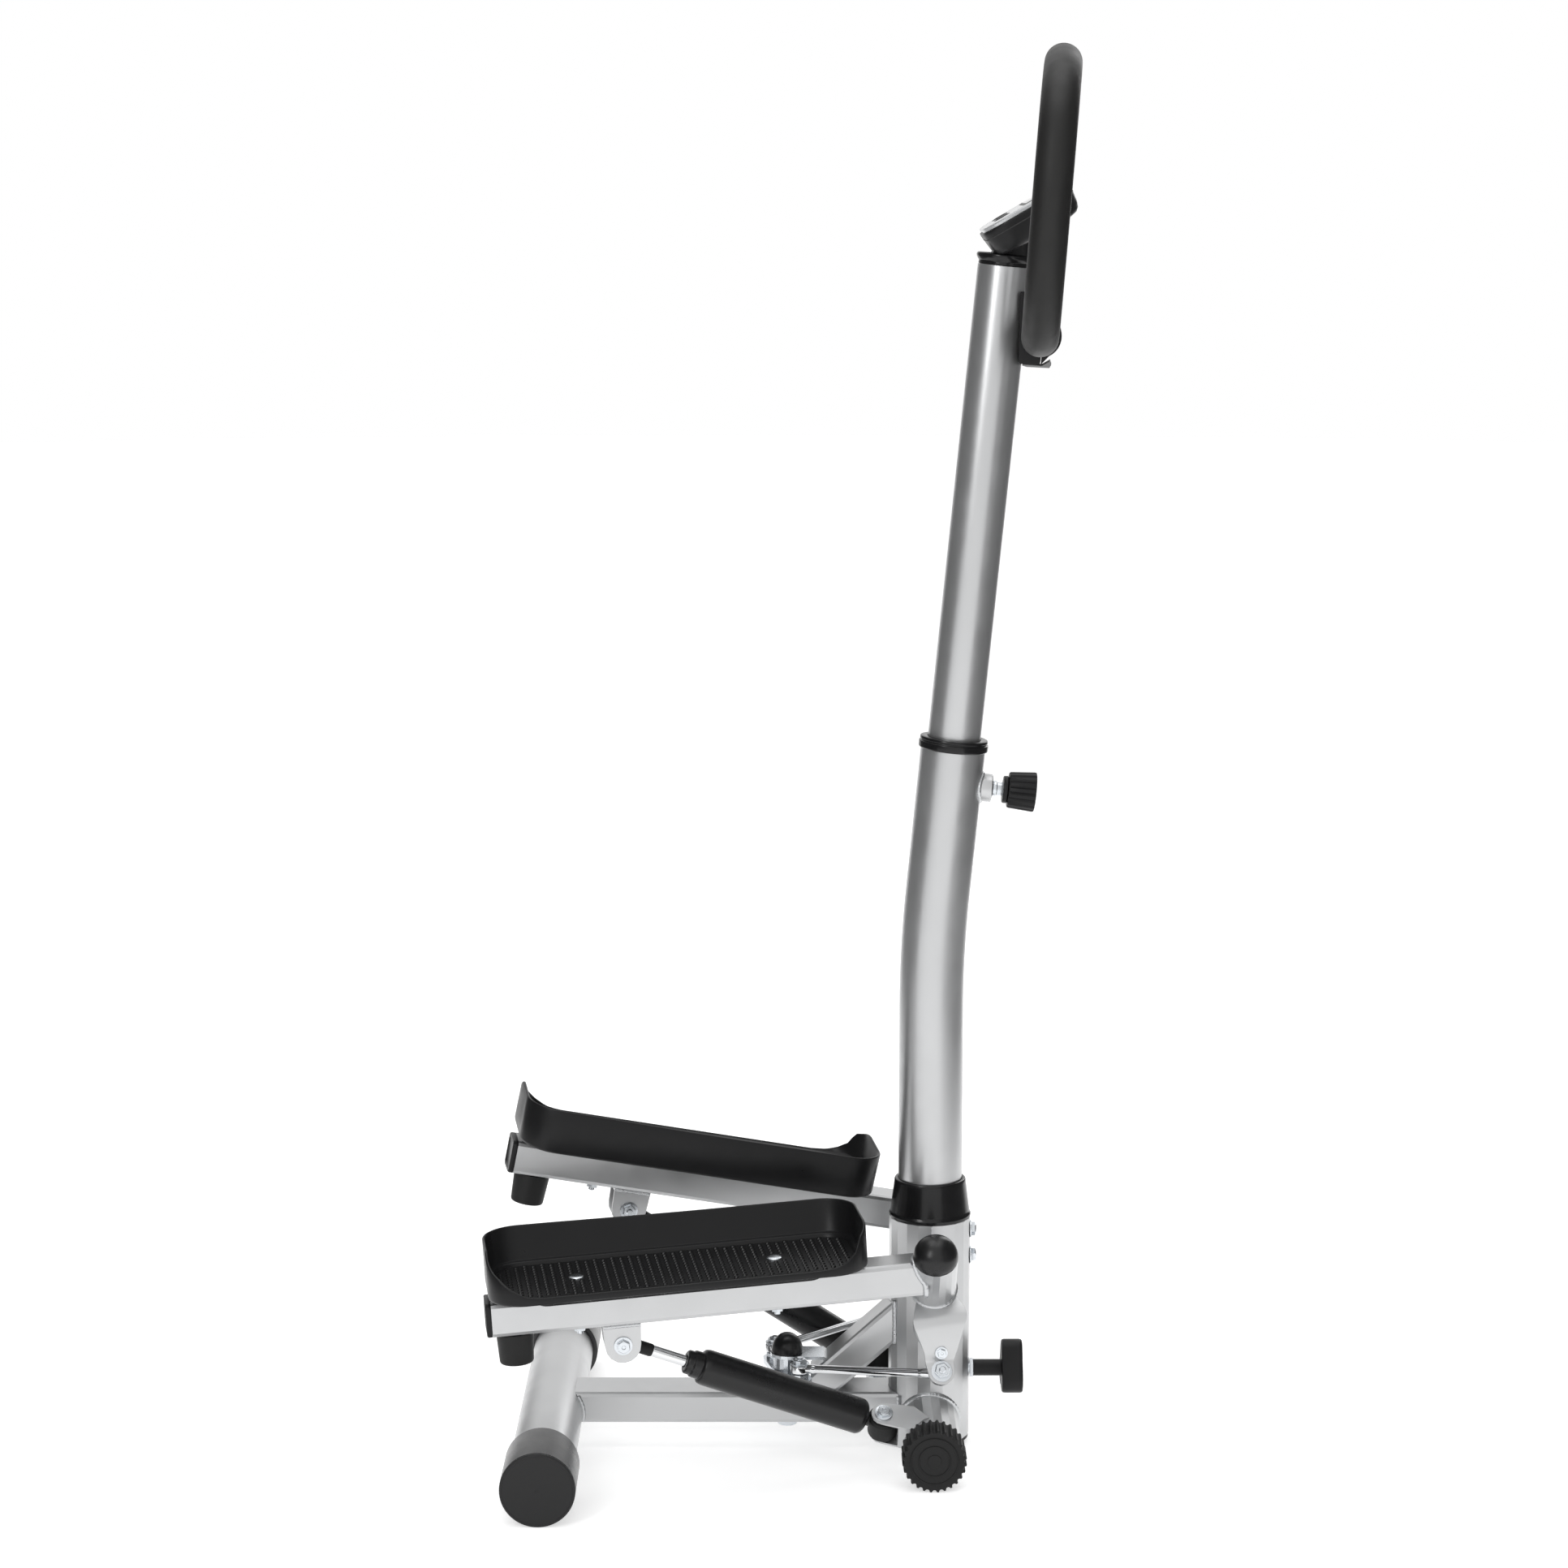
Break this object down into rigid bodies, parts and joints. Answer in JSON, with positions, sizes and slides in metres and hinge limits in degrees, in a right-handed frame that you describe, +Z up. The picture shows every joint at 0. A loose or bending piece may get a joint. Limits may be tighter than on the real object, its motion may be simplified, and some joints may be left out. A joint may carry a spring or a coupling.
{
  "type": "twist stepper with handlebar",
  "caption": "Twisting stepper: two tilted foot pedals linked by a rocker and hydraulic cylinders on a tube frame, with a height-adjustable mast, a console and a closed handlebar loop.",
  "frame": {"origin": "centre of the bounding box on the floor, in the stored pose", "axes": "+Z up from the floor; +X the way the user faces, towards the mast; +Y to the user's left"},
  "size_m": [0.5544, 0.464, 1.3117],
  "materials": {
    "silver": "silver powder coat",
    "zinc": "zinc plated",
    "chrome": "polished",
    "black_plastic": "black, fine grain",
    "gloss_black": "black gloss",
    "rubber": "black",
    "foam": "black closed-cell foam",
    "console_silver": "silver grey",
    "display": "dark display window"
  },
  "bodies": {
    "base": {"main_beam": "silver", "rear_stabilizer": "silver", "base_post": "silver", "front_tube_right": "silver", "front_tube_left": "silver", "support_strut": "silver", "mast_lower_tube": "silver", "cylinder_bracket_right": "silver", "cylinder_bracket_left": "silver", "rocker_bolt": "zinc", "rocker_support_bar": "zinc", "mast_bolt_upper": "zinc", "mast_bolt_lower": "zinc", "cylinder_bolt_right": "zinc", "cylinder_bolt_left": "zinc", "post_plug": "black_plastic", "rocker_cap": "black_plastic", "mast_bushing": "black_plastic", "mast_collar": "black_plastic", "rear_cap_right": "gloss_black", "rear_cap_left": "gloss_black", "front_cap_right": "rubber", "front_cap_left": "rubber"},
    "mast": {"mast_upper_tube": "silver", "console_plug": "black_plastic", "console_body": "black_plastic", "console_face": "console_silver", "console_display": "display", "handle_clamp": "black_plastic", "handle_clamp_cap": "black_plastic", "handlebar_tube": "silver", "handlebar_grip_right": "foam", "handlebar_grip_left": "foam"},
    "height_knob": {"height_knob": "black_plastic"},
    "tension_knob": {"tension_knob": "black_plastic"},
    "console_button_right": {"console_button_right": "black_plastic"},
    "console_button_left": {"console_button_left": "black_plastic"},
    "right_pedal": {"pedal_arm_right": "silver", "pivot_cap_right": "gloss_black", "arm_plug_right": "black_plastic", "rubber_foot_right": "rubber", "clevis_right": "silver", "clevis_bolt_right": "zinc", "link_bracket_right": "silver", "footplate_right": "black_plastic"},
    "left_pedal": {"pedal_arm_left": "silver", "pivot_cap_left": "gloss_black", "arm_plug_left": "black_plastic", "rubber_foot_left": "rubber", "clevis_left": "silver", "clevis_bolt_left": "zinc", "link_bracket_left": "silver", "footplate_left": "black_plastic"},
    "rocker": {"rocker_plate": "zinc"},
    "right_tie_rod": {"tie_rod_right": "chrome"},
    "left_tie_rod": {"tie_rod_left": "chrome"},
    "right_cylinder": {"cylinder_right": "gloss_black"},
    "left_cylinder": {"cylinder_left": "gloss_black"},
    "right_piston": {"piston_rod_right": "chrome"},
    "left_piston": {"piston_rod_left": "chrome"}
  },
  "joints": [
    {"name": "mast_height", "type": "slide", "parent": "base", "child": "mast", "axis": [0.0976, 0, 0.9952], "range_m": [-0.025, 0.055]},
    {"name": "height_knob_turn", "type": "hinge", "parent": "base", "child": "height_knob", "pos_m": [0.20278, 0, 0.63237], "axis": [0.9952, 0, -0.0976], "range_deg": [0, 360]},
    {"name": "tension_knob_turn", "type": "hinge", "parent": "base", "child": "tension_knob", "pos_m": [0.1877, 0, 0.0713], "axis": [1, 0, 0], "range_deg": [0, 360]},
    {"name": "console_button_right_press", "type": "slide", "parent": "mast", "child": "console_button_right", "axis": [0.5, 0, -0.866], "range_m": [0, 0.0007], "stiffness_N_per_m": 300},
    {"name": "console_button_left_press", "type": "slide", "parent": "mast", "child": "console_button_left", "axis": [0.5, 0, -0.866], "range_m": [0, 0.0007], "stiffness_N_per_m": 300},
    {"name": "right_pedal_swing", "type": "hinge", "parent": "base", "child": "right_pedal", "pos_m": [0.1387, -0.095, 0.195], "axis": [0, -0.6481, 0.7615], "range_deg": [-22.5, 0.5]},
    {"name": "left_pedal_swing", "type": "hinge", "parent": "base", "child": "left_pedal", "pos_m": [0.1387, 0.095, 0.195], "axis": [0, 0.6481, 0.7615], "range_deg": [-22.6, 0.6]},
    {"name": "rocker_turn", "type": "hinge", "parent": "base", "child": "rocker", "pos_m": [0.0023, 0, 0.0688], "axis": [0, 0, 1], "range_deg": [-44.8, 1.2]},
    {"name": "right_tie_rod_swing", "type": "hinge", "parent": "rocker", "child": "right_tie_rod", "pos_m": [0.01421, -0.03185, 0.081], "axis": [0, 0, 1], "range_deg": [-1.2, 45.2]},
    {"name": "left_tie_rod_swing", "type": "hinge", "parent": "rocker", "child": "left_tie_rod", "pos_m": [-0.00961, 0.03185, 0.081], "axis": [0, 0, 1], "range_deg": [-1.2, 45.7]},
    {"name": "right_cylinder_swing", "type": "hinge", "parent": "base", "child": "right_cylinder", "pos_m": [0.0916, -0.0895, 0.047], "axis": [0.029, -0.5533, 0.8325], "range_deg": [-24.7, 0.8]},
    {"name": "right_piston_slide", "type": "slide", "parent": "right_cylinder", "child": "right_piston", "axis": [-0.9167, -0.1701, 0.3614], "range_m": [-0.0011, 0.0372]},
    {"name": "left_cylinder_swing", "type": "hinge", "parent": "base", "child": "left_cylinder", "pos_m": [0.0916, 0.0895, 0.047], "axis": [0.029, 0.5533, 0.8325], "range_deg": [-24.1, 0.8]},
    {"name": "left_piston_slide", "type": "slide", "parent": "left_cylinder", "child": "left_piston", "axis": [-0.8107, -0.1456, 0.5671], "range_m": [-0.0379, 0.0011]}
  ],
  "couplings": [
    {"joint": "left_pedal_swing", "follows": "right_pedal_swing", "ratio": 1},
    {"joint": "rocker_turn", "follows": "right_pedal_swing", "ratio": 1.98},
    {"joint": "right_tie_rod_swing", "follows": "right_pedal_swing", "ratio": -2},
    {"joint": "left_tie_rod_swing", "follows": "right_pedal_swing", "ratio": -2.02},
    {"joint": "right_cylinder_swing", "follows": "right_pedal_swing", "ratio": 1.0838},
    {"joint": "left_cylinder_swing", "follows": "right_pedal_swing", "ratio": 1.0569},
    {"joint": "right_piston_slide", "follows": "right_pedal_swing", "m_per_rad": -0.0937},
    {"joint": "left_piston_slide", "follows": "right_pedal_swing", "m_per_rad": 0.0956}
  ]
}
